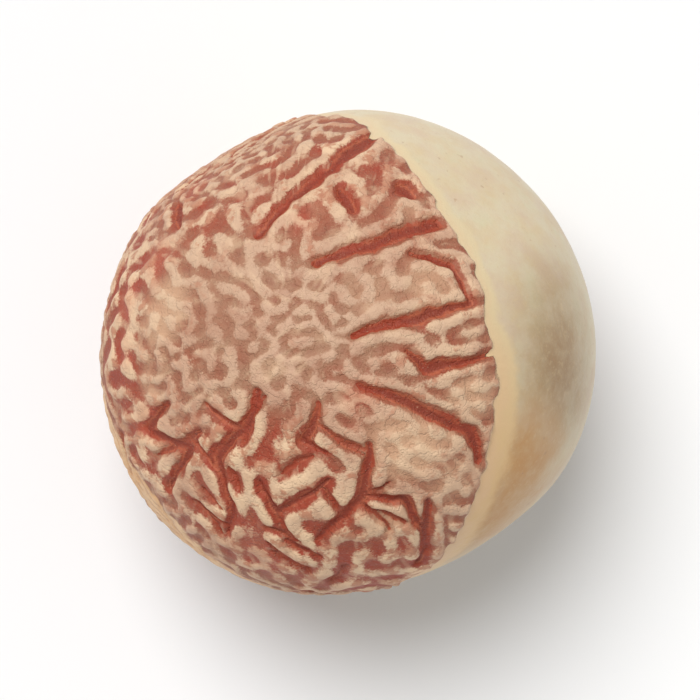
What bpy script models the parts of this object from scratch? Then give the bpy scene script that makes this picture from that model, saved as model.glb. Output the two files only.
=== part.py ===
"""A whole dried euryale seed, the starchy seed of the prickly water lily.

The seed is one grown body. It is nearly round, a little longer along the line from the hilum, the
sunken scar at the middle of its pale cap, to the far end of its brown coat. It lies with that line
dipped, so the cap faces sideways and down, and it rests on a small flat spot.

+Z is up and +X is the side that the cap faces. The origin is on the resting surface, under the
middle of the seed's box. Lengths are in metres and angles in radians.
"""

import math

import bmesh
import bpy
from mathutils import Matrix, Vector

# The round body
SEED_ALONG = 0.00752  # from the hilum end to the far end of the coat
SEED_ACROSS = 0.00742  # square to that line
HILUM_TURN = math.radians(9)  # the hilum points this far round from +X towards +Y
HILUM_DIP = math.radians(30)  # and this far below level

# The hilum, a round bowl sunk in the middle of the cap
PIT_ACROSS = 0.00175
PIT_DEPTH = 0.00040
PIT_FLOOR_SHARE = 0.35  # of the pit's radius is level floor, and its wall rises from there

# Broad flats where the seed grew against its neighbours in the fruit: the way each one faces, as
# its turn from +X and its rise above level in degrees, and how deep it is
GROWTH_FLATS = (
    (120, 8, 0.00017),
    (304, -5, 0.00019),
    (278, 0, 0.00010),
    (168, -12, 0.00008),
    (205, 42, 0.00004),
    (52, 38, 0.00003),
)
HILUM_END_FLAT = 0.00006
FLAT_ROUNDING = 0.00030  # how softly the round body turns into a flat

# The spot that the seed rests on
REST_SHAVE = 0.00016  # how far the spot lies inside the round body
REST_ROUNDING = 0.00006

# The mesh
SEGMENTS = 60
RINGS = 44
RING_GATHER = 0.40  # draws the rings closer together round the pit
CUT_MERGE = 0.00002

DOWN = Vector((0, 0, -1))

COAT_COLOUR = (0.43, 0.19, 0.13, 1.0)
COAT_ROUGHNESS = 0.55


def clear_scene():
    for thing in list(bpy.data.objects):
        bpy.data.objects.remove(thing, do_unlink=True)


def facing(turn, rise):
    """The unit vector turned this far round from +X and raised this far above level."""
    level = math.cos(rise)
    return Vector((level * math.cos(turn), level * math.sin(turn), math.sin(rise)))


def softly_over(value, rounding):
    """Zero well below nought and the value itself well above it, with a rounded corner between."""
    return (value + math.hypot(value, rounding)) / 2


def press_flat(point, way, reach, rounding):
    """The point pressed back so that the body reaches no further than this along the way given."""
    return point - way * softly_over(point.dot(way) - reach, rounding)


def pit_share(distance):
    """How much of the pit's full depth lies this far from its middle: 1 on the floor, 0 outside."""
    radius = PIT_ACROSS / 2
    floor = PIT_FLOOR_SHARE * radius
    climb = min(max((distance - floor) / (radius - floor), 0.0), 1.0)
    return 1 - climb * climb * (3 - 2 * climb)


def shape_point(direction, hilum):
    """Where the seed's surface lies in this direction from the middle of its body."""
    along = direction.dot(hilum)
    aside = direction - hilum * along
    point = hilum * (along * SEED_ALONG / 2) + aside * (SEED_ACROSS / 2)
    for turn, rise, depth in GROWTH_FLATS:
        way = facing(math.radians(turn), math.radians(rise))
        point = press_flat(point, way, reach_along(way, hilum) - depth, FLAT_ROUNDING)
    point = press_flat(point, hilum, SEED_ALONG / 2 - HILUM_END_FLAT, FLAT_ROUNDING)
    if along > 0:
        off_axis = (point - hilum * point.dot(hilum)).length
        point -= hilum * (PIT_DEPTH * pit_share(off_axis))
    return press_flat(point, DOWN, rest_reach(hilum) + REST_ROUNDING / 2, REST_ROUNDING)


def reach_along(way, hilum):
    """How far the round body reaches along the way given, before any flat."""
    along = way.dot(hilum)
    return math.hypot(SEED_ALONG / 2 * along, SEED_ACROSS / 2 * math.sqrt(1 - along * along))


def rest_reach(hilum):
    """How far below the middle of the round body the resting spot lies."""
    return reach_along(DOWN, hilum) - REST_SHAVE


def round_ball(mesh, hilum):
    """A ball whose pole is the hilum, with its rings gathered towards that pole."""
    bmesh.ops.create_uvsphere(mesh, u_segments=SEGMENTS, v_segments=RINGS, radius=1)
    to_hilum = Vector((0, 0, 1)).rotation_difference(hilum).to_matrix()
    for vertex in mesh.verts:
        polar = vertex.co.angle(Vector((0, 0, 1)))
        gathered = polar - RING_GATHER * math.sin(polar)
        turn = math.atan2(vertex.co.y, vertex.co.x)
        vertex.co = to_hilum @ facing(turn, math.pi / 2 - gathered)


def cut_rest_spot(mesh, level):
    """Slices the seed off at the level given, through its softened corner, and closes it flat."""
    cut = bmesh.ops.bisect_plane(
        mesh,
        geom=mesh.verts[:] + mesh.edges[:] + mesh.faces[:],
        dist=CUT_MERGE,
        plane_co=(0, 0, level),
        plane_no=DOWN,
        clear_outer=True,
    )
    rim = [part for part in cut["geom_cut"] if isinstance(part, bmesh.types.BMEdge)]
    for edge in rim:
        for vertex in edge.verts:
            vertex.co.z = level
    bmesh.ops.contextual_create(mesh, geom=rim)


def stand_on_origin(mesh):
    """Moves the seed so that the origin is on the resting surface under the middle of its box."""
    corners = [
        (min(v.co[axis] for v in mesh.verts), max(v.co[axis] for v in mesh.verts))
        for axis in range(3)
    ]
    middle_x = sum(corners[0]) / 2
    middle_y = sum(corners[1]) / 2
    offset = Vector((-middle_x, -middle_y, -corners[2][0]))
    bmesh.ops.transform(mesh, matrix=Matrix.Translation(offset), verts=mesh.verts)


def make_seed(collection):
    hilum = facing(HILUM_TURN, -HILUM_DIP)
    mesh = bmesh.new()
    round_ball(mesh, hilum)
    for vertex in mesh.verts:
        vertex.co = shape_point(vertex.co, hilum)
    cut_rest_spot(mesh, -rest_reach(hilum))
    bmesh.ops.recalc_face_normals(mesh, faces=mesh.faces)
    stand_on_origin(mesh)
    data = bpy.data.meshes.new("seed")
    mesh.to_mesh(data)
    mesh.free()
    data.shade_smooth()
    data.set_sharp_from_angle(angle=math.radians(40))
    data.materials.append(seed_material())
    collection.objects.link(bpy.data.objects.new("seed", data))


def seed_material():
    material = bpy.data.materials.new("seed coat")
    material.use_nodes = True
    shader = material.node_tree.nodes["Principled BSDF"]
    shader.inputs["Base Color"].default_value = COAT_COLOUR
    shader.inputs["Roughness"].default_value = COAT_ROUGHNESS
    shader.inputs["Metallic"].default_value = 0.0
    return material


def main():
    clear_scene()
    collection = bpy.data.collections.new("euryale seed")
    bpy.context.scene.collection.children.link(collection)
    make_seed(collection)


main()
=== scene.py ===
"""The looks of one whole dried euryale seed, on a plain pale floor, seen from straight above."""

import itertools
import math
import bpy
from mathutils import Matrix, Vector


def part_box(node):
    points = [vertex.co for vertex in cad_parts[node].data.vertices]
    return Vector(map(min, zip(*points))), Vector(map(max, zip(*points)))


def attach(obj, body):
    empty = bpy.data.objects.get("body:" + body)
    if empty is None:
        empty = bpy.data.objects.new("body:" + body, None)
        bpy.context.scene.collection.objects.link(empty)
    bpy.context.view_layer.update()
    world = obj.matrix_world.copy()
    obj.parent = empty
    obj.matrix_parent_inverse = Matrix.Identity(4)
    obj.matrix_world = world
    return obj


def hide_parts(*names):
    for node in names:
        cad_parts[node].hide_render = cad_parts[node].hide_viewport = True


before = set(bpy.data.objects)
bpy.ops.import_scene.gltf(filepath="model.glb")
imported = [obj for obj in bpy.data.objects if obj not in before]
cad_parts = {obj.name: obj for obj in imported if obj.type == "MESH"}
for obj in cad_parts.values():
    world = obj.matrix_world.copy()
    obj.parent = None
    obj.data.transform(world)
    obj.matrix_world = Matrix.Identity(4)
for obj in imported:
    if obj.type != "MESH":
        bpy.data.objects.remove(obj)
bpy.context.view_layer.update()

import types

import bmesh
import bpy
import numpy as np
from mathutils import Matrix, Vector

MM = 0.001

# The seed's outer form, as the solid has it
SEED_ALONG = 7.52 * MM  # from the hilum end to the far end of the coat
SEED_ACROSS = 7.42 * MM
HILUM_TURN = math.radians(9)  # the hilum points this far round from +X towards +Y
HILUM_DIP = math.radians(30)  # and this far below level
PIT_ACROSS = 1.75 * MM
PIT_DEPTH = 0.40 * MM
PIT_FLOOR_SHARE = 0.35  # of the pit's radius is level floor
# The broad flats: the turn from +X and the rise above level, in degrees, of the way that each one
# faces, and its depth
GROWTH_FLATS = (
    (120, 8, 0.17 * MM),
    (304, -5, 0.19 * MM),
    (278, 0, 0.10 * MM),
    (168, -12, 0.08 * MM),
    (205, 42, 0.04 * MM),
    (52, 38, 0.03 * MM),
)
HILUM_END_FLAT = 0.06 * MM
FLAT_ROUNDING = 0.30 * MM
REST_SHAVE = 0.16 * MM
REST_ROUNDING = 0.06 * MM

# The mesh
FACE_CELLS = 78  # cells along each side of the six square patches that make the ball
FINE_MARGIN = 3.5  # degrees past the coat's edge that still have the finer cells
FINE_PIT = 18  # degrees from the hilum that have them too

# The coat's relief
COAT_THICKNESS = 0.045 * MM  # how far the coat stands above the cap
SET_IN_SHARE = 0.6  # of that thickness lies below the solid's surface
COAT_LIP = 0.003 * MM  # a faint rise along the coat's edge
COAT_LIP_PLACE = 0.08  # how far inside the edge it is, and its width, in millimetres
COAT_LIP_WIDTH = 0.09
COAT_SWELL = 0.010 * MM
WRINKLE_HEIGHT = 0.033 * MM
CREST_POWER = 1.4  # above 1 the ridges are narrower than the grooves
FURROW_DEPTH = 0.060 * MM
FIBRE_HEIGHT = 0.0022 * MM
RUBBED_LOSS = 0.70  # of the coat's relief is gone where it is rubbed off
REST_FADE = 0.25 * MM  # the relief sets in over this height above the resting spot

# The cap's relief
CAP_SWELL = 0.010 * MM
CAP_RIPPLE = 0.003 * MM
PIT_LIP = 0.026 * MM
PIT_LIP_PLACE = 1.14  # its distance from the hilum and its width, in radii of the pit
PIT_LIP_WIDTH = 0.13
PIT_STREAK = 0.026 * MM
PIT_ROUGHNESS = 0.020 * MM
STUMP_HEIGHT = 0.08 * MM
STUMP_RADIUS = 0.15 * MM
STUMP_PLACE = (0.7, 0.035)  # its turn round the hilum from upward, and its angle from the hilum

# The wrinkles
FINE_WRINKLE = 0.25 * MM  # from one ridge to the next, where they are finest
BROAD_WRINKLE = 0.34 * MM
WIDTH_WAVER = 0.26
RIDGE_BIAS = 0.01
FURROW_PULL = 1.6  # how strongly a furrow holds the skin down while it wrinkles
BIAS_WAVER = 0.20
WRINKLE_ROUNDS = 6
NEAR_STEPS = 8
FAR_STEPS = 22
SPREAD_RATE = 0.0058  # the near steps' whole spread, as a share of the wrinkle's width squared
SPREAD_LIMIT = 0.9  # keeps each step of the spreading steady
WRINKLE_GAIN = 3.2  # how sharply ridges and grooves part
ALONG_GRAIN = 2.8  # how much more a wrinkle spreads along the grain than across it
WRINKLE_CENTRE = (-0.75, 0.25)  # the wrinkles on the top run outward from here, in millimetres
WRINKLE_CHANCE = 11  # each number of chance starts one set of random draws

# The fine streaks
FIBRE_STEPS = 10
FIBRE_BLEND = 0.6  # how much of its neighbours a point takes on at each step
FIBRE_FOCUS = 8  # how strictly only the neighbours along the grain count
FIBRE_LEAST = 1e-4  # so that every neighbour counts for something
FIBRE_CHANCE = 12

# Where the coat ends, as the angle from the hilum: on average, and how it swings round the seed
COAT_EDGE_DEGREES = (89.3, 1.0, -4.3)
EDGE_SWAY = 1.6  # degrees that the edge strays to either side
EDGE_NICKS = 0.9  # and that its fine nicks add
EDGE_NOTCH = 0.10  # how far a furrow cuts into the edge, in millimetres

# The pale band along that edge, in millimetres
BAND_WIDTH = 0.26
BAND_WIDER = 0.22  # how much wider it is where it is orange
BAND_WAVER = 0.09
BAND_LEAST = 0.08

# The brick red furrows that show from above. Each is a line of points in millimetres from the
# middle of the seed, right and up as the camera sees them, then its width.
TOP_FURROWS = (
    (((0.33, 3.18), (-0.20, 2.75), (-0.98, 2.08), (-1.30, 1.72)), 0.30),
    (((0.44, 3.26), (0.20, 3.06), (-0.12, 2.82)), 0.34),
    (((1.34, 1.96), (0.75, 1.72), (-0.38, 1.30)), 0.33),
    (((1.78, 0.75), (1.35, 0.62), (0.50, 0.42), (0.05, 0.27)), 0.27),
    (((0.95, 1.42), (1.50, 1.30), (1.75, 0.80)), 0.17),
    (((2.02, 0.02), (1.40, -0.14), (1.10, -0.22), (0.88, 0.02)), 0.22),
    (((1.90, -1.50), (1.72, -1.10), (0.80, -0.66), (0.18, -0.45)), 0.30),
    (((0.36, -1.30), (0.28, -2.02), (-0.40, -2.68)), 0.30),
    (((0.30, -2.02), (0.80, -2.12), (1.10, -2.55)), 0.20),
    (((1.15, -2.10), (1.05, -3.10)), 0.25),
    (((-1.25, -0.55), (-1.45, -1.05), (-1.95, -1.55), (-1.68, -2.15), (-1.72, -2.62)), 0.25),
    (((-2.65, -0.75), (-3.00, -1.10), (-2.35, -1.40), (-2.60, -2.00)), 0.22),
    (((-1.28, -1.85), (-1.02, -2.28), (-0.30, -1.80)), 0.22),
    (((-2.20, -2.15), (-1.75, -2.52)), 0.20),
    (((-0.45, -0.90), (-0.62, -1.22), (-0.30, -1.40)), 0.18),
    (((-0.85, -2.70), (-0.40, -2.95)), 0.18),
    (((-0.06, 2.40), (0.12, 2.12)), 0.28),
    (((0.80, 2.45), (0.98, 2.32)), 0.34),
    (((-2.55, 2.30), (-2.45, 1.90)), 0.22),
)
FLANK_WIDTH = 0.35  # how much wider than a furrow its paler flanks reach, in millimetres

# Short furrows scattered over the low part of the top
SHORT_TRIES = 34
SHORT_STRENGTH = 0.85  # of a main furrow's depth
SHORT_CHANCE = 20

# Furrows that run away from the coat's edge where the camera doesn't see them
UNSEEN_TRIES = 80
UNSEEN_BELOW = 0.25  # the highest that one may lie, the top of the seed being 1
UNSEEN_CHANCE = 16

# Where the coat is a coarse net of red grooves. Each spot is given in millimetres right and up as
# the camera sees them: its middle, where full strength ends, where it fades out, and how strong.
NET_SPOTS = (
    (-1.1, -2.2, 0.9, 2.0, 1.0),
    (0.2, -3.1, 0.7, 1.7, 1.0),
    (-0.4, 2.5, 0.7, 1.5, 0.65),
    (-2.0, 1.9, 0.4, 1.2, 0.55),
)
NET_LINE = ((-3.1, 1.9), (-3.3, 0.3), (-2.9, -1.6))  # the net also runs down the left side
NET_LINE_WIDTH = 2.2 * MM

# Paler places on the coat, given in the same way
PALE_SPOTS = (
    (0.90, -1.30, 0.25, 0.80, 1.0),
    (1.50, -1.85, 0.15, 0.60, 0.5),
    (0.62, -2.45, 0.10, 0.45, 0.8),
    (1.75, -0.50, 0.15, 0.60, 0.8),
    (1.25, 1.00, 0.15, 0.60, 0.6),
    (0.35, 0.95, 0.10, 0.60, 0.4),
    (-2.65, 0.60, 0.25, 0.70, 0.8),
    (-2.95, -0.35, 0.05, 0.40, 0.6),
    (-2.80, -1.40, 0.05, 0.32, 0.7),
    (-0.40, 2.20, 0.05, 0.30, 0.5),
    (0.95, 2.10, 0.05, 0.45, 0.4),
)

# Places with a rose blush
ROSE_SPOTS = (
    (-2.80, 1.35, 0.10, 0.50, 0.9),
    (-3.25, 0.80, 0.10, 0.45, 0.9),
    (-3.30, 0.15, 0.10, 0.42, 0.8),
    (-2.95, -1.00, 0.10, 0.50, 0.8),
    (-2.35, 2.40, 0.05, 0.50, 0.7),
    (0.18, -0.60, 0.10, 0.42, 0.9),
    (-0.62, 1.95, 0.05, 0.35, 0.6),
    (-1.20, -3.00, 0.20, 0.80, 0.6),
)

# The dun bloom on the coat, the brown cloud of painted shade on the cap's right limb, and the cap's
# tan lower end, partly its own tan and partly painted shade, each one spot
BLOOM_SPOTS = ((-0.9, 0.8, 0.9, 2.6, 1.0),)
LIMB_SHADE_SPOTS = ((3.2, -0.2, 0.1, 2.0, 1.0),)
# The cap's tan lower end is partly its own tan and partly painted shade
TAN_AND_SHADE_SPOTS = ((2.1, -2.2, 0.6, 2.1, 1.0),)

# The place on the low left where the coat is rubbed off, as strokes. Each is a line of directions,
# the turn from +X and the rise above level in degrees, then its half width in millimetres.
WORN_STROKES = (
    (((182, 4), (202, 9), (220, 10), (240, 6), (262, 2)), 0.72),
    (((198, 4), (208, -6), (216, -14)), 0.50),
)


def facing(turn, rise):
    """The unit vector turned this far round from +X and raised this far above level."""
    level = math.cos(rise)
    return np.array((level * math.cos(turn), level * math.sin(turn), math.sin(rise)))


HILUM = facing(HILUM_TURN, -HILUM_DIP)
UPWARD = facing(HILUM_TURN, math.pi / 2 - HILUM_DIP)
SIDEWAYS = np.cross(UPWARD, HILUM)
DOWN = np.array((0.0, 0.0, -1.0))
BODY_RADIUS = (SEED_ALONG + SEED_ACROSS) / 4


def eased(value, low, high):
    """0 below low, 1 above high and a smooth climb between."""
    share = np.clip((value - low) / (high - low), 0, 1)
    return share * share * (3 - 2 * share)


def unit_vectors(vectors, least=0.0):
    """The vectors made one long, but for any shorter than the least, which stay under one."""
    return vectors / np.maximum(np.linalg.norm(vectors, axis=1, keepdims=True), least)


# The outer form

def reach_along(way):
    """How far the round body reaches along the way given, before any flat."""
    along = way @ HILUM
    return math.hypot(SEED_ALONG / 2 * along, SEED_ACROSS / 2 * math.sqrt(1 - along * along))


def press_flat(points, way, reach, rounding):
    """The points pressed back so that none reaches further than this along the way given."""
    over = points @ way - reach
    return points - np.outer((over + np.hypot(over, rounding)) / 2, way)


def pit_share(distance):
    """How much of the pit's full depth lies this far from its middle: 1 on the floor, 0 outside."""
    radius = PIT_ACROSS / 2
    return 1 - eased(distance, PIT_FLOOR_SHARE * radius, radius)


def seed_form(directions):
    """Where the seed's smooth surface lies in these directions from the middle of its body."""
    along = directions @ HILUM
    aside = directions - np.outer(along, HILUM)
    points = np.outer(along * SEED_ALONG / 2, HILUM) + aside * (SEED_ACROSS / 2)
    for turn, rise, depth in GROWTH_FLATS:
        way = facing(math.radians(turn), math.radians(rise))
        points = press_flat(points, way, reach_along(way) - depth, FLAT_ROUNDING)
    points = press_flat(points, HILUM, SEED_ALONG / 2 - HILUM_END_FLAT, FLAT_ROUNDING)
    off_axis = np.linalg.norm(points - np.outer(points @ HILUM, HILUM), axis=1)
    sunk = np.where(along > 0, PIT_DEPTH * pit_share(off_axis), 0)
    points = points - np.outer(sunk, HILUM)
    rest = reach_along(DOWN) - REST_SHAVE
    return press_flat(points, DOWN, rest + REST_ROUNDING / 2, REST_ROUNDING)


# The mesh

def even_ball():
    """A ball of even cells, one of its six square patches facing the hilum.

    The cells of the coat and of the pit are then cut in four, because their relief is the finest.
    """
    mesh = bmesh.new()
    bmesh.ops.create_cube(mesh, size=2)
    bmesh.ops.subdivide_edges(mesh, edges=mesh.edges[:], cuts=FACE_CELLS - 1, use_grid_fill=True)
    to_seed = Matrix((SIDEWAYS, UPWARD, HILUM)).transposed()
    for vertex in mesh.verts:
        spread = Vector([math.tan(x * math.pi / 4) for x in vertex.co])
        vertex.co = (to_seed @ spread).normalized()
    polar, turn = polar_and_turn(np.array([vertex.co for vertex in mesh.verts]))
    fine = np.degrees(polar) > coat_edge_angle(turn) - FINE_MARGIN
    fine |= np.degrees(polar) < FINE_PIT
    cut = [edge for edge in mesh.edges if all(fine[vertex.index] for vertex in edge.verts)]
    bmesh.ops.subdivide_edges(mesh, edges=cut, cuts=1, use_grid_fill=True)
    data = bpy.data.meshes.new("seed")
    mesh.to_mesh(data)
    mesh.free()
    return data


def get_points(data):
    flat = np.empty(len(data.vertices) * 3, np.float32)
    data.vertices.foreach_get("co", flat)
    return flat.reshape(-1, 3).astype(float)


def set_points(data, points):
    data.vertices.foreach_set("co", points.astype(np.float32).ravel())
    data.update()


def get_normals(data):
    flat = np.empty(len(data.vertices) * 3, np.float32)
    data.vertex_normals.foreach_get("vector", flat)
    return flat.reshape(-1, 3).astype(float)


def add_attribute(data, name, values):
    layer = data.attributes.new(name, "FLOAT", "POINT")
    layer.data.foreach_set("value", values.astype(np.float32))


def neighbour_pairs(data):
    """Both ways between every two vertices that share an edge, or lie across a square cell."""
    edges = np.empty(len(data.edges) * 2, np.int32)
    data.edges.foreach_get("vertices", edges)
    corners = np.empty(len(data.loops), np.int32)
    data.loops.foreach_get("vertex_index", corners)
    starts = np.empty(len(data.polygons), np.int32)
    counts = np.empty(len(data.polygons), np.int32)
    data.polygons.foreach_get("loop_start", starts)
    data.polygons.foreach_get("loop_total", counts)
    first = starts[counts == 4]
    across = [np.stack([corners[first + k], corners[first + k + 2]], axis=1) for k in (0, 1)]
    pairs = np.concatenate([edges.reshape(-1, 2)] + across)
    return np.concatenate([pairs, pairs[:, ::-1]])


# Noise that is the same on every run. Its chance number picks one pattern out of many.

def lattice_value(cells, chance):
    """A steady random number from -1 to 1 for each whole-numbered cell, by scattering its bits."""
    x, y, z = cells.T
    mixed = x * 73856093 ^ y * 19349663 ^ z * 83492791 ^ chance * 2654435
    mixed = (mixed ^ (mixed >> 13)) * 1274126177 & 0x7FFFFFFF
    mixed = (mixed ^ (mixed >> 15)) * 668265263 & 0x7FFFFFFF
    return mixed / 0x3FFFFFFF - 1


def noise(points, size, chance):
    """Smooth noise from -1 to 1 whose features are about this size."""
    scaled = points / size
    cells = np.floor(scaled).astype(np.int64)
    part = scaled - cells
    ease = part * part * (3 - 2 * part)
    total = np.zeros(len(points))
    for corner in itertools.product((0, 1), repeat=3):
        weight = np.prod(np.where(corner, ease, 1 - ease), axis=1)
        total += weight * lattice_value(cells + np.array(corner), chance)
    return total


def layered_noise(points, size, chance, layers=3):
    """Noise of this size with finer and fainter noise on it."""
    return sum(noise(points, size / 2**k, chance + k) / 2**k for k in range(layers)) / 1.5


def noise_vectors(kind, points, size, chance):
    """Three noises of the kind given, as one vector at each point."""
    return np.stack([kind(points, size, chance + k) for k in range(3)], axis=1)


# Places on the seed

def polar_and_turn(directions):
    """How far each direction is from the hilum, and how far round the hilum from upward."""
    polar = np.arccos(np.clip(directions @ HILUM, -1, 1))
    return polar, np.arctan2(directions @ SIDEWAYS, directions @ UPWARD)


def edge_direction(turn, polar):
    """The direction this far round the hilum from upward, and this far from the hilum."""
    aside = UPWARD * math.cos(turn) + SIDEWAYS * math.sin(turn)
    return HILUM * math.cos(polar) + aside * math.sin(polar)


def coat_edge_angle(turn):
    """How far from the hilum the coat ends, in degrees, this far round from upward."""
    middle, once, twice = COAT_EDGE_DEGREES
    return middle + once * np.cos(turn) + twice * np.cos(2 * turn)


def top_direction(spot):
    """The direction of a spot given in millimetres right and up as the camera sees it.

    A spot at or past the outline is held a little above level.
    """
    x, y = spot[0] * MM, spot[1] * MM
    height = math.sqrt(max(BODY_RADIUS**2 - x * x - y * y, (0.15 * BODY_RADIUS) ** 2))
    way = np.array((x, y, height))
    return way / np.linalg.norm(way)


def spotted_zone(directions, spots):
    """How strongly each point lies in any of the spots given."""
    zone = np.zeros(len(directions))
    for x, y, near, far, strength in spots:
        gap = np.linalg.norm(directions - top_direction((x, y)), axis=1) * BODY_RADIUS / MM
        zone = np.maximum(zone, strength * (1 - eased(gap, near, far)))
    return zone


def line_mask(directions, line, width, waver=0.0):
    """1 along the middle of a line of directions and 0 past its width, narrowing to both ends."""
    lengths = [np.linalg.norm(b - a) for a, b in zip(line, line[1:])]
    whole = sum(lengths)
    mask = np.zeros(len(directions))
    done = 0
    for start, end, length in zip(line, line[1:], lengths):
        share = np.clip((directions - start) @ (end - start) / length**2, 0, 1)
        nearest = unit_vectors(start + np.outer(share, end - start))
        gap = np.linalg.norm(directions - nearest, axis=1) * BODY_RADIUS
        travelled = (done + share * length) / whole
        taper = 0.40 + 0.60 * np.sin(math.pi * np.clip(travelled, 0.04, 0.9) ** 0.8)
        half = width / 2 * taper * (1 + waver)
        mask = np.maximum(mask, 1 - eased(gap, 0.15 * half, 1.25 * half))
        done += length
    return mask


def net_zone(directions):
    """Where the coat is a coarse bright net of red grooves: 1 there and 0 where it is plain."""
    swayed = directions + 0.10 * noise_vectors(layered_noise, directions, 0.35, 101)
    swayed = unit_vectors(swayed)
    down_left = line_mask(swayed, [top_direction(spot) for spot in NET_LINE], NET_LINE_WIDTH)
    seen = np.maximum(spotted_zone(swayed, NET_SPOTS), down_left)
    underside = 1 - eased(directions[:, 2], -0.15, 0.15)
    return np.maximum(seen, underside * eased(layered_noise(directions, 0.6, 111), -0.15, 0.35))


def worn_place(directions):
    """How far outside the coat's rubbed place each point is, in millimetres, below 0 within it."""
    swayed = directions + 0.045 * noise_vectors(layered_noise, directions, 0.22, 121)
    gap = np.full(len(directions), np.inf)
    for line, half in WORN_STROKES:
        spine = [facing(math.radians(turn), math.radians(rise)) for turn, rise in line]
        steps = len(spine) - 1
        for step, (start, end) in enumerate(zip(spine, spine[1:])):
            way = end - start
            share = np.clip((swayed - start) @ way / (way @ way), 0, 1)
            away = np.linalg.norm(swayed - start - np.outer(share, way), axis=1)
            taper = np.sin(math.pi * np.clip((step + share) / steps, 0.03, 0.97)) ** 0.6
            gap = np.minimum(gap, away * BODY_RADIUS / MM - half * taper)
    return gap + 0.22 * layered_noise(directions, 0.085, 211)


# The furrows. Each of the three kinds is a list of lines of directions with their widths in
# millimetres.

def top_furrows():
    """The main furrows that show from above."""
    return [([top_direction(spot) for spot in spots], width) for spots, width in TOP_FURROWS]


def short_furrows():
    """Short straight furrows between the main ones, on the low part of the top."""
    chance = np.random.RandomState(SHORT_CHANCE)
    furrows = []
    for _ in range(SHORT_TRIES):
        spot = np.array((chance.uniform(-3.0, 1.3), chance.uniform(-3.3, -0.7)))
        off_the_top = np.hypot(*spot) > 3.35
        on_the_cap = spot[0] - 0.6 * spot[1] > 2.2
        if off_the_top or on_the_cap:
            continue
        lean = chance.choice((0.8, 2.3)) + chance.uniform(-0.5, 0.5)
        reach = chance.uniform(0.15, 0.38) * np.array((math.cos(lean), math.sin(lean)))
        width = chance.uniform(0.12, 0.19)
        plain_place = spot[0] >= 0.3 and spot[1] >= -1.9
        if not plain_place:
            furrows.append(([top_direction(spot + reach * k) for k in (-1, 0, 1)], width))
    return furrows


def unseen_furrows():
    """Furrows that run away from the coat's edge, on the sides and the underside."""
    chance = np.random.RandomState(UNSEEN_CHANCE)
    furrows = []
    for _ in range(UNSEEN_TRIES):
        turn = chance.uniform(0, 2 * math.pi)
        inward = chance.choice((0.02, chance.uniform(0.1, 1.5)))
        polar = math.radians(coat_edge_angle(turn)) + inward
        length = chance.uniform(0.12, 0.42)
        lean = chance.uniform(-0.35, 0.35)
        width = chance.uniform(0.14, 0.28)
        line = []
        for step in range(4):
            place = polar + length * step / 3
            bend = chance.uniform(-0.03, 0.03)
            line.append(edge_direction(turn + lean * (place - polar) + bend, place))
        if line[1][2] <= UNSEEN_BELOW:
            furrows.append((line, width))
    return furrows


def furrow_mask(directions):
    """How deep in a furrow each point lies, from 0 to 1, and how near beside one."""
    broad_sway = 0.016 * noise_vectors(noise, directions, 0.11, 11)
    fine_sway = 0.008 * noise_vectors(noise, directions, 0.035, 31)
    swayed = unit_vectors(directions + (broad_sway + fine_sway))
    waver = 0.45 * layered_noise(directions, 0.07, 91)
    mask = np.zeros(len(directions))
    flank = np.zeros(len(directions))
    for line, width in top_furrows() + unseen_furrows():
        mask = np.maximum(mask, line_mask(swayed, line, width * MM, waver))
        flank = np.maximum(flank, line_mask(swayed, line, (width + FLANK_WIDTH) * MM, waver))
    for line, width in short_furrows():
        short = line_mask(swayed, line, width * MM, waver)
        mask = np.maximum(mask, SHORT_STRENGTH * short)
    return mask, flank * (1 - mask)


# The wrinkles

def along_surface(directions, target):
    """The unit vectors that point along the surface, straight away from the target direction."""
    return unit_vectors(directions * (directions @ target)[:, None] - target, 1e-6)


def wrinkle_grain(directions, inside_coat, wander):
    """How the wrinkles run: outward from one place on the top, and square to the coat's edge."""
    near_edge = 1 - eased(inside_coat, 0.6, 2.6)
    centre = top_direction(WRINKLE_CENTRE)
    off_centre = np.linalg.norm(directions - centre, axis=1) * BODY_RADIUS / MM
    on_top = eased(directions[:, 2], 0.0, 0.5) * eased(off_centre, 0.3, 1.2)
    grain = -along_surface(directions, HILUM) * (0.9 * near_edge * (1 - on_top))[:, None]
    grain += along_surface(directions, centre) * (0.8 * on_top)[:, None]
    grain += (0.6 - 0.2 * on_top)[:, None] * wander
    return unit_vectors(grain, 1.0)


def wrinkle_field(points, pairs, grain, width, bias):
    """A maze of ridges, near 1 on a ridge and -1 in a groove, that runs along the grain given.

    Each round, a point takes after its near neighbours and against the ones further off, the way
    that a drying skin buckles. The width is the local distance from ridge to ridge, and the bias
    raises or sinks the skin where something else already has.
    """
    home, away = pairs.T
    step = points[away] - points[home]
    gap = np.einsum("ij,ij->i", step, step)
    run = np.einsum("ij,ij->i", step, grain[home]) ** 2 / gap
    weight = (1 + ALONG_GRAIN * run) / gap
    total = np.bincount(home, weight)
    share = np.minimum(SPREAD_RATE / NEAR_STEPS * width**2, SPREAD_LIMIT / total)

    def spread(field, times):
        for _ in range(times):
            field = field + share * (np.bincount(home, weight * field[away]) - total * field)
        return field

    field = np.random.RandomState(WRINKLE_CHANCE).standard_normal(len(points))
    for _ in range(WRINKLE_ROUNDS):
        near = spread(field, NEAR_STEPS)
        field = np.tanh(WRINKLE_GAIN * (near - spread(near, FAR_STEPS)) + bias)
    return spread(field, 1)


def fibre_field(points, pairs, grain):
    """Fine streaks along the grain, as a noise of mean 0 and spread 1."""
    home, away = pairs.T
    step = unit_vectors(points[away] - points[home])
    line = unit_vectors(grain, 1e-6)
    weight = np.einsum("ij,ij->i", step, line[home]) ** FIBRE_FOCUS + FIBRE_LEAST
    total = np.bincount(home, weight)
    field = np.random.RandomState(FIBRE_CHANCE).standard_normal(len(points))
    for _ in range(FIBRE_STEPS):
        around = np.bincount(home, weight * field[away]) / total
        field = (1 - FIBRE_BLEND) * field + FIBRE_BLEND * around
    return (field - field.mean()) / field.std()


# The seed

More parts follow.
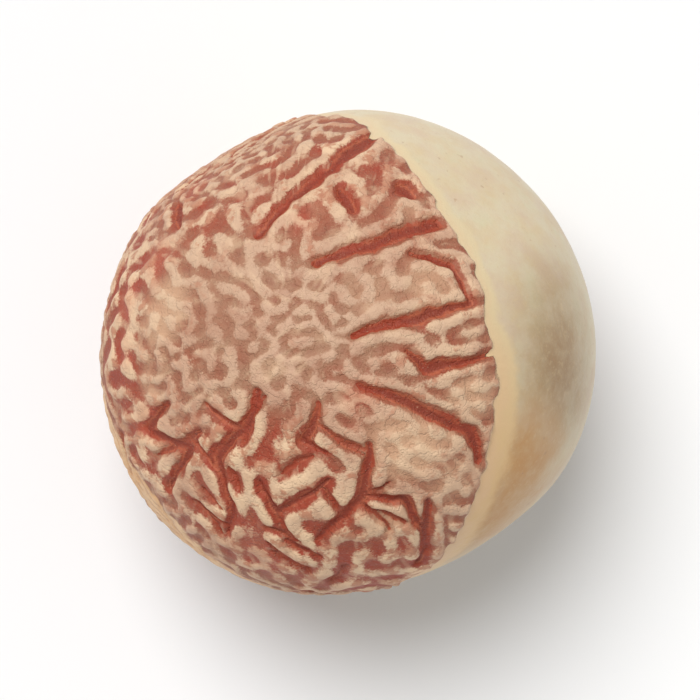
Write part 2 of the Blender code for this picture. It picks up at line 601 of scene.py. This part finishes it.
def seed_fields(data, directions, points):
    """What the relief and the colours are made from, each a number at every point of the seed.

    inside_coat is how far a point lies past the coat's edge, in millimetres, below 0 on the cap.
    band is that distance in widths of the band round the cap. pit_distance is the distance from
    the hilum in radii of the pit. wrinkle goes from -1 to 1, fibre is a noise of spread 1, and
    the others go from 0 to 1, but for streak, which goes from -1 to 1.
    """
    polar, turn = polar_and_turn(directions)
    wander = noise_vectors(noise, directions, 0.5, 51)
    furrow, flank = furrow_mask(directions)
    net = net_zone(directions)
    ragged = EDGE_SWAY * layered_noise(directions, 0.16, 31)
    ragged += EDGE_NICKS * noise(directions, 0.045, 41)
    edge = np.radians(coat_edge_angle(turn) + ragged)
    inside_coat = (polar - edge) * BODY_RADIUS / MM - EDGE_NOTCH * furrow

    grain = wrinkle_grain(directions, inside_coat, wander)
    pairs = neighbour_pairs(data)
    width = FINE_WRINKLE + (BROAD_WRINKLE - FINE_WRINKLE) * net
    width *= 1 + WIDTH_WAVER * layered_noise(directions, 0.22, 131)
    bias = RIDGE_BIAS - FURROW_PULL * furrow + BIAS_WAVER * layered_noise(directions, 0.13, 141)

    band_tone = np.maximum(eased(np.abs(turn), 1.0, 2.2), 0.55 * eased(-turn, -0.3, 0.7))
    band_width = BAND_WIDTH + BAND_WIDER * band_tone
    band_width += BAND_WAVER * layered_noise(directions, 0.3, 171)
    streak_place = np.stack([np.cos(turn), np.sin(turn), 0.12 * polar], axis=1)
    off_stump = np.linalg.norm(directions - edge_direction(*STUMP_PLACE), axis=1) * BODY_RADIUS
    return types.SimpleNamespace(
        inside_coat=inside_coat,
        wrinkle=wrinkle_field(points, pairs, grain, width, bias),
        fibre=fibre_field(points, pairs, grain),
        furrow=furrow,
        flank=flank,
        net=net,
        bloom=spotted_zone(directions + 0.08 * wander, BLOOM_SPOTS) * (1 - net),
        pale=spotted_zone(directions + 0.06 * wander, PALE_SPOTS),
        rose=spotted_zone(directions + 0.06 * wander, ROSE_SPOTS),
        rubbed=1 - eased(worn_place(directions), -0.42, 0.30),
        band=inside_coat / np.maximum(band_width, BAND_LEAST),
        band_tone=band_tone,
        # The cap's brown cloud on its right limb is painted shade
        cloud=spotted_zone(directions + 0.10 * wander, LIMB_SHADE_SPOTS),
        # The cap's lower end: partly its own tan and partly painted shade
        low_tan_and_shade=spotted_zone(directions + 0.10 * wander, TAN_AND_SHADE_SPOTS),
        pit_distance=polar * BODY_RADIUS / (PIT_ACROSS / 2),
        streak=layered_noise(streak_place, 0.13, 181),
        stump=np.exp(-((off_stump / STUMP_RADIUS) ** 2)),
    )


def coat_relief(directions, fields):
    """How far the coat stands above the body that it covers."""
    crest = 2 * ((1 + fields.wrinkle) / 2) ** CREST_POWER - 1
    patchy = 0.72 + 0.40 * layered_noise(directions, 0.22, 151)
    lip = np.exp(-((fields.inside_coat - COAT_LIP_PLACE) / COAT_LIP_WIDTH) ** 2)
    relief = COAT_THICKNESS + COAT_LIP * lip
    relief += WRINKLE_HEIGHT * crest * patchy * (1 - 0.20 * fields.bloom + 0.25 * fields.net)
    relief -= FURROW_DEPTH * fields.furrow
    relief += FIBRE_HEIGHT * np.clip(fields.fibre, -2.5, 2.5)
    relief += COAT_SWELL * layered_noise(directions, 0.4, 161)
    return relief * (1 - RUBBED_LOSS * fields.rubbed)


def cap_relief(directions, fields):
    """The cap's low swellings, the lip of the pit, its streaked wall and its floor."""
    distance = fields.pit_distance
    in_pit = 1 - eased(distance, 0.85, 1.0)
    relief = CAP_SWELL * layered_noise(directions, 0.25, 71)
    relief += CAP_RIPPLE * layered_noise(directions, 0.05, 201)
    relief += PIT_LIP * np.exp(-((distance - PIT_LIP_PLACE) / PIT_LIP_WIDTH) ** 2)
    relief += PIT_STREAK * in_pit * fields.streak * eased(distance, 0.2, 0.5)
    relief += PIT_ROUGHNESS * in_pit * layered_noise(directions, 0.04, 191)
    relief += STUMP_HEIGHT * fields.stump
    return relief


def offset_to_solid(points, low, high):
    """How far the seed moves to lie over the solid's box and on its resting surface."""
    middle = (points.min(axis=0) + points.max(axis=0)) / 2
    offset = (low + high) / 2 - middle
    offset[2] = low[2] - points[:, 2].min()
    return offset


def make_seed():
    data = even_ball()
    directions = unit_vectors(get_points(data))
    points = seed_form(directions)
    set_points(data, points)
    normals = get_normals(data)
    fields = seed_fields(data, directions, points)

    coat = eased(fields.inside_coat, -0.02, 0.05)
    relief = coat * coat_relief(directions, fields) + (1 - coat) * cap_relief(directions, fields)
    relief -= COAT_THICKNESS * SET_IN_SHARE
    low, high = (np.array(corner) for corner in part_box("seed"))
    points = points + offset_to_solid(points, low, high)
    relief *= eased(points[:, 2] - low[2], 0, REST_FADE)
    points += normals * relief[:, None]
    points[:, 2] = np.maximum(points[:, 2], low[2])
    set_points(data, points)
    data.shade_smooth()

    for name, values in vars(fields).items():
        add_attribute(data, name, values)
    data.materials.append(seed_finish(vars(fields)))
    seed = bpy.data.objects.new("whole_seed", data)
    bpy.context.scene.collection.objects.link(seed)
    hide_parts("seed")
    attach(seed, "root")


# Shader maths

class Value:
    """A number or a vector that varies over a surface, on which sums can be done."""

    def __init__(self, graph, socket):
        self.graph = graph
        self.socket = socket

    def __add__(self, other):
        return self.graph.maths("ADD", self, other)

    def __radd__(self, other):
        return self.graph.maths("ADD", other, self)

    def __sub__(self, other):
        return self.graph.maths("SUBTRACT", self, other)

    def __rsub__(self, other):
        return self.graph.maths("SUBTRACT", other, self)

    def __mul__(self, other):
        return self.graph.maths("MULTIPLY", self, other)


class Graph:
    """The nodes of one material."""

    def __init__(self, name):
        self.material = bpy.data.materials.new(name)
        self.material.use_nodes = True
        self.nodes = self.material.node_tree.nodes
        self.links = self.material.node_tree.links
        self.shader = self.nodes["Principled BSDF"]

    def feed(self, socket, value):
        """Links a varying value to a socket, or sets a plain one on it."""
        if isinstance(value, Value):
            self.links.new(value.socket, socket)
        else:
            socket.default_value = value

    def node(self, kind, settings=None, inputs=None, output=0):
        """A node of this kind with its settings made first, then its inputs by name or number."""
        made = self.nodes.new(kind)
        for name, setting in (settings or {}).items():
            setattr(made, name, setting)
        for name, value in (inputs or {}).items():
            self.feed(made.inputs[name], value)
        return Value(self, made.outputs[output])

    def maths(self, operation, *values):
        inputs = dict(enumerate(values))
        return self.node("ShaderNodeMath", {"operation": operation}, inputs)

    def eased(self, value, low, high):
        inputs = {"Value": value, "From Min": low, "From Max": high}
        return self.node("ShaderNodeMapRange", {"interpolation_type": "SMOOTHSTEP"}, inputs)

    def attribute(self, name):
        return self.node("ShaderNodeAttribute", {"attribute_name": name}, output="Fac")

    def place(self):
        return self.node("ShaderNodeTexCoord", output="Object")

    def grain(self, place, size, detail=2.0, roughness=0.5):
        """Noise whose features are about this size, in metres."""
        inputs = {"Vector": place, "Scale": 1 / size, "Detail": detail, "Roughness": roughness}
        return self.node("ShaderNodeTexNoise", inputs=inputs, output="Fac")

    def mix(self, share, first, second):
        """One colour passing into another as the share goes from 0 to 1."""
        inputs = {0: share, 6: first, 7: second}
        return self.node("ShaderNodeMix", {"data_type": "RGBA"}, inputs, 2)

    def bump(self, height, distance):
        inputs = {"Height": height, "Distance": distance, "Strength": 1.0}
        return self.node("ShaderNodeBump", inputs=inputs)


def colour(red, green, blue):
    """A colour given as a screen shows it, from 0 to 255, made linear."""
    return tuple((level / 255) ** 2.2 for level in (red, green, blue)) + (1.0,)


RIDGE_TAN = colour(210, 173, 142)
RIDGE_PINK = colour(205, 161, 132)
RIDGE_CREAM = colour(234, 198, 160)
RIDGE_DUN = colour(200, 160, 132)
RUBBED_ROSE = colour(180, 106, 76)
SHADE_BROWN = colour(158, 100, 76)
GROOVE_TAN = colour(170, 125, 97)
GROOVE_BROWN = colour(160, 98, 72)
GROOVE_PALE = colour(218, 173, 137)
BLUSH_DEEP = colour(182, 92, 70)
BLUSH_PALE = colour(216, 144, 112)
FURROW_RED = colour(160, 66, 42)
FURROW_ROSE = colour(184, 98, 68)
DEEP_RED = colour(124, 42, 26)
BARE_PEACH = colour(242, 202, 156)
BARE_AMBER = colour(232, 182, 130)
CAP_CREAM = colour(213, 197, 164)
CAP_WARM = colour(210, 184, 140)
CAP_ROSE = colour(208, 182, 156)
CAP_SALLOW = colour(206, 198, 158)
CAP_SPECK = colour(170, 130, 92)
# Painted shade: the brown of the cap's right limb, as if it lay in shade
CAP_LIMB_SHADE = colour(154, 121, 82)
# Partly the cap's own tan, partly painted shade at its lower end
CAP_TAN_AND_SHADE = colour(192, 140, 80)
BAND_PALE = colour(218, 197, 156)
BAND_ORANGE = colour(222, 168, 98)
BAND_PEACH = colour(224, 184, 142)
PIT_GOLD = colour(176, 112, 44)
PIT_RED = colour(146, 74, 38)
PIT_BROWN = colour(98, 60, 42)
PIT_DARK = colour(66, 38, 28)
FLOOR_PALE = colour(243, 243, 243)
FLOOR_BRIGHT = colour(246, 246, 246)

BUMP_DEPTH = 0.026 * MM


def skin_values(graph, names):
    """The seed's own fields, and noises of several sizes, for its colours to be made from."""
    skin = types.SimpleNamespace(**{name: graph.attribute(name) for name in names})
    place = graph.place()
    skin.grit = graph.grain(place, 0.030 * MM, 2.0, 0.6)
    skin.fine = graph.grain(place, 0.075 * MM, 4.0, 0.65)
    skin.speck = graph.grain(place, 0.11 * MM, 1.0)
    skin.flaky = graph.grain(place, 0.34 * MM, 6.0, 0.62)
    skin.patchy = graph.grain(place, 0.45 * MM, 4.0, 0.6)
    skin.blotch = graph.grain(place, 0.75 * MM, 5.0, 0.62)
    skin.broad = graph.grain(place, 1.5 * MM, 2.0)
    web = graph.grain(place, 0.17 * MM, 3.0, 0.55)
    skin.crease = graph.eased(graph.maths("ABSOLUTE", web - 0.5), 0.0, 0.07)
    return skin


def coat_colour(graph, skin):
    """Pale ridges over browner grooves, then the cut furrows, and the place that is rubbed bare."""
    contrast = 0.48 + skin.net * 0.42 - skin.bloom * 0.30 + skin.flank * 0.25 - skin.pale * 0.30
    contrast = contrast + (skin.patchy - 0.5) * 1.4 + skin.rose * 0.20
    groove = graph.mix(graph.eased(contrast, 0.05, 0.55), GROOVE_TAN, GROOVE_BROWN)
    groove = graph.mix(graph.eased(contrast, 0.45, 1.0), groove, FURROW_RED)
    groove = graph.mix(graph.eased(skin.wrinkle, -0.6, -1.0) * 0.35, groove, DEEP_RED)
    groove = graph.mix(skin.pale * 0.82, groove, GROOVE_PALE)
    groove = graph.mix(skin.rose * 0.75, groove, BLUSH_DEEP)
    ridge = graph.mix(graph.eased(skin.broad, 0.4, 0.62), RIDGE_TAN, RIDGE_PINK)
    ridge = graph.mix(graph.eased(contrast, 0.45, 1.15), ridge, RIDGE_CREAM)
    ridge = graph.mix(skin.pale * 0.60, ridge, RIDGE_CREAM)
    ridge = graph.mix(skin.bloom * 0.70, ridge, RIDGE_DUN)
    ridge = graph.mix(skin.rose * 0.60, ridge, BLUSH_PALE)
    flaked = graph.eased(skin.flaky, 0.50, 0.58) * graph.eased(contrast, 0.1, 0.8)
    ridge = graph.mix(flaked * 0.75, ridge, RUBBED_ROSE)
    height = skin.wrinkle + (skin.fine - 0.5) * 1.4 + (skin.grit - 0.5) * 0.8
    height = height - (1 - skin.crease) * 0.12 + skin.fibre * 0.10
    coat = graph.mix(graph.eased(height, -0.34, 0.38), groove, ridge)

    plain = 1 - skin.pale
    coat = graph.mix(graph.eased(skin.blotch, 0.50, 0.63) * plain * 0.28, coat, SHADE_BROWN)
    coat = graph.mix(graph.eased(skin.patchy, 0.44, 0.32) * plain * 0.30, coat, RIDGE_CREAM)
    coat = graph.mix(graph.eased(skin.fibre, 0.5, 2.2) * 0.30, coat, RIDGE_CREAM)
    coat = graph.mix(graph.eased(skin.fibre, -0.6, -2.2) * 0.30, coat, GROOVE_BROWN)

    stroke = graph.mix(graph.eased(skin.patchy, 0.40, 0.62), FURROW_RED, FURROW_ROSE)
    cut = skin.furrow + (skin.fine - 0.5) * 0.9 + (skin.flaky - 0.5) * 0.8
    coat = graph.mix(graph.eased(cut, 0.30, 0.62), coat, stroke)
    deep = skin.furrow + (skin.patchy - 0.5) * 1.2 + (skin.grit - 0.5) * 0.4
    coat = graph.mix(graph.eased(deep, 0.70, 1.05) * 0.75, coat, DEEP_RED)
    coat = graph.mix(graph.eased(skin.grit, 0.60, 0.80) * 0.35, coat, RIDGE_CREAM)

    bare = graph.mix(graph.eased(skin.flaky, 0.40, 0.60), BARE_AMBER, BARE_PEACH)
    left_in_groove = graph.eased(skin.wrinkle + (skin.fine - 0.5) * 1.2, -0.1, -0.9)
    bare = graph.mix(left_in_groove * 0.40, bare, RUBBED_ROSE)
    chafed = skin.rubbed + skin.wrinkle * 0.20
    chafed = chafed + (skin.patchy - 0.5) * 0.5 + (skin.flaky - 0.5) * 0.6
    chafed = chafed + (skin.fine - 0.5) * 0.5
    return graph.mix(graph.eased(chafed, 0.48, 0.74) * 0.92, coat, bare)


def cap_colour(graph, skin):
    """Cream with its cloud of painted shade, its tan lower end, partly painted shade, its specks,
    and the band along the coat.
    """
    cap = graph.mix(graph.eased(skin.patchy, 0.35, 0.70) * 0.7, CAP_CREAM, CAP_WARM)
    cap = graph.mix(graph.eased(skin.blotch, 0.48, 0.66) * 0.55, cap, CAP_ROSE)
    cap = graph.mix(graph.eased(skin.blotch, 0.50, 0.34) * 0.45, cap, CAP_SALLOW)
    uneven = 0.72 + graph.eased(skin.patchy, 0.30, 0.65) * 0.28
    # The cloud is painted shade, darkening the cap towards its right limb
    cap = graph.mix(skin.cloud * uneven, cap, CAP_LIMB_SHADE)
    # Partly the cap's own tan and partly painted shade at its lower end
    cap = graph.mix(skin.low_tan_and_shade * uneven, cap, CAP_TAN_AND_SHADE)
    cap = graph.mix(graph.eased(skin.streak, 0.1, 0.9) * 0.30, cap, CAP_WARM)
    cap = graph.mix(graph.eased(skin.fine, 0.52, 0.72) * 0.30, cap, CAP_WARM)
    cap = graph.mix(graph.eased(skin.speck, 0.70, 0.80) * 0.45, cap, CAP_SPECK)
    edge = skin.band + (skin.patchy - 0.5) * 0.8 + (skin.fine - 0.5) * 0.3
    outer = graph.mix(skin.band_tone, BAND_PALE, BAND_ORANGE)
    cap = graph.mix(graph.eased(edge, -1.4, -0.7), cap, outer)
    inner = graph.eased(edge, -0.8, -0.2) * (0.25 + skin.band_tone * 0.75)
    return graph.mix(inner, cap, BAND_PEACH)


def pit_colour(graph, skin):
    """The golden wall of the pit, its dark floor and the red stump on it."""
    patches = graph.eased(skin.patchy + skin.streak * 0.2, 0.4, 0.6)
    hollow = graph.mix(patches, PIT_GOLD, PIT_RED)
    depth = skin.pit_distance + skin.streak * 0.12 + (skin.fine - 0.5) * 0.4
    floor = graph.eased(depth, 0.88, 0.5)
    hollow = graph.mix(floor, hollow, PIT_BROWN)
    hollow = graph.mix(floor * graph.eased(skin.flaky, 0.54, 0.44) * 0.6, hollow, PIT_DARK)
    stump = graph.eased(skin.stump + (skin.fine - 0.5) * 0.5, 0.35, 0.75)
    hollow = graph.mix(stump * 0.7, hollow, PIT_RED)
    return graph.mix(graph.eased(skin.fine, 0.55, 0.75) * 0.35, hollow, PIT_GOLD)


def seed_finish(names):
    graph = Graph("seed surface")
    skin = skin_values(graph, names)
    in_pit = graph.eased(skin.pit_distance + (skin.fine - 0.5) * 0.10, 1.04, 0.97)
    on_coat = graph.eased(skin.inside_coat + (skin.fine - 0.5) * 0.06, -0.01, 0.02)
    bare = graph.mix(in_pit, cap_colour(graph, skin), pit_colour(graph, skin))
    surface = graph.mix(on_coat, bare, coat_colour(graph, skin))
    roughness = 0.40 + on_coat * 0.22 + in_pit * 0.2 + (skin.blotch - 0.5) * 0.25

    on_the_coat = skin.fine * 0.7 + skin.grit * 0.35 + skin.crease * 0.30 + skin.flaky * 0.8
    on_the_cap = skin.fine * (0.28 + in_pit * 0.7) + skin.grit * (0.08 + in_pit * 0.3)
    on_the_cap = on_the_cap - skin.speck * 0.20
    height = on_the_cap + on_coat * (on_the_coat - on_the_cap)
    graph.feed(graph.shader.inputs["Base Color"], surface)
    graph.feed(graph.shader.inputs["Roughness"], roughness)
    graph.feed(graph.shader.inputs["Normal"], graph.bump(height, BUMP_DEPTH))
    return graph.material


# The setting

FLOOR_HALF = 0.60
FLOOR_FLAT = 0.12  # past this far from the seed the floor sweeps gently up
FLOOR_RISE = 0.040  # and it has climbed this far at the middle of each side
FLOOR_CELLS = 60
FLOOR_CLOUD = 60 * MM
FLOOR_ROUGHNESS = 0.85
CAMERA_LENS = 200.0
CAMERA_SENSOR = 36.0
FRAME_WIDTH = 10.4 * MM
KEY_WAY = Vector((-0.20, 0.42, 1.0)).normalized()  # from the seed to the soft light
KEY_DISTANCE = 3.0
KEY_SIZE = 1.7
KEY_POWER = 72.0
SKY_COLOUR = (1.0, 1.0, 1.0, 1.0)
SKY_STRENGTH = 0.42


def floor_finish():
    graph = Graph("pale floor")
    cloud = graph.grain(graph.place(), FLOOR_CLOUD)
    tone = graph.mix(cloud, FLOOR_PALE, FLOOR_BRIGHT)
    graph.feed(graph.shader.inputs["Base Color"], tone)
    graph.feed(graph.shader.inputs["Roughness"], FLOOR_ROUGHNESS)
    return graph.material


def make_floor():
    """A pale sheet, flat round the seed, whose far part sweeps up so that a low view has no end."""
    mesh = bmesh.new()
    bmesh.ops.create_grid(mesh, x_segments=FLOOR_CELLS, y_segments=FLOOR_CELLS, size=FLOOR_HALF)
    for vertex in mesh.verts:
        beyond = max(vertex.co.length - FLOOR_FLAT, 0) / (FLOOR_HALF - FLOOR_FLAT)
        vertex.co.z = FLOOR_RISE * beyond**2
    data = bpy.data.meshes.new("floor")
    mesh.to_mesh(data)
    mesh.free()
    data.shade_smooth()
    data.materials.append(floor_finish())
    floor = bpy.data.objects.new("floor", data)
    bpy.context.scene.collection.objects.link(floor)


def make_lights():
    light = bpy.data.lights.new("soft key", "AREA")
    light.shape = "DISK"
    light.size = KEY_SIZE
    light.energy = KEY_POWER
    key = bpy.data.objects.new("soft key", light)
    key.location = KEY_WAY * KEY_DISTANCE
    key.rotation_euler = (-KEY_WAY).to_track_quat("-Z", "Y").to_euler()
    bpy.context.scene.collection.objects.link(key)
    world = bpy.data.worlds.new("soft room")
    world.use_nodes = True
    background = world.node_tree.nodes["Background"]
    background.inputs["Color"].default_value = SKY_COLOUR
    background.inputs["Strength"].default_value = SKY_STRENGTH
    bpy.context.scene.world = world


def make_camera():
    low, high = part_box("seed")
    camera = bpy.data.cameras.new("camera")
    camera.lens = CAMERA_LENS
    camera.sensor_width = CAMERA_SENSOR
    distance = FRAME_WIDTH / 2 / (CAMERA_SENSOR / 2 / CAMERA_LENS)
    camera.clip_start = distance / 10
    camera.clip_end = distance * 20
    seen_from = bpy.data.objects.new("camera", camera)
    middle = (Vector(low) + Vector(high)) / 2
    seen_from.location = (middle.x, middle.y, middle.z + distance)
    bpy.context.scene.collection.objects.link(seen_from)
    bpy.context.scene.camera = seen_from


make_seed()
make_floor()
make_lights()
make_camera()
bpy.context.scene.view_settings.view_transform = "Standard"
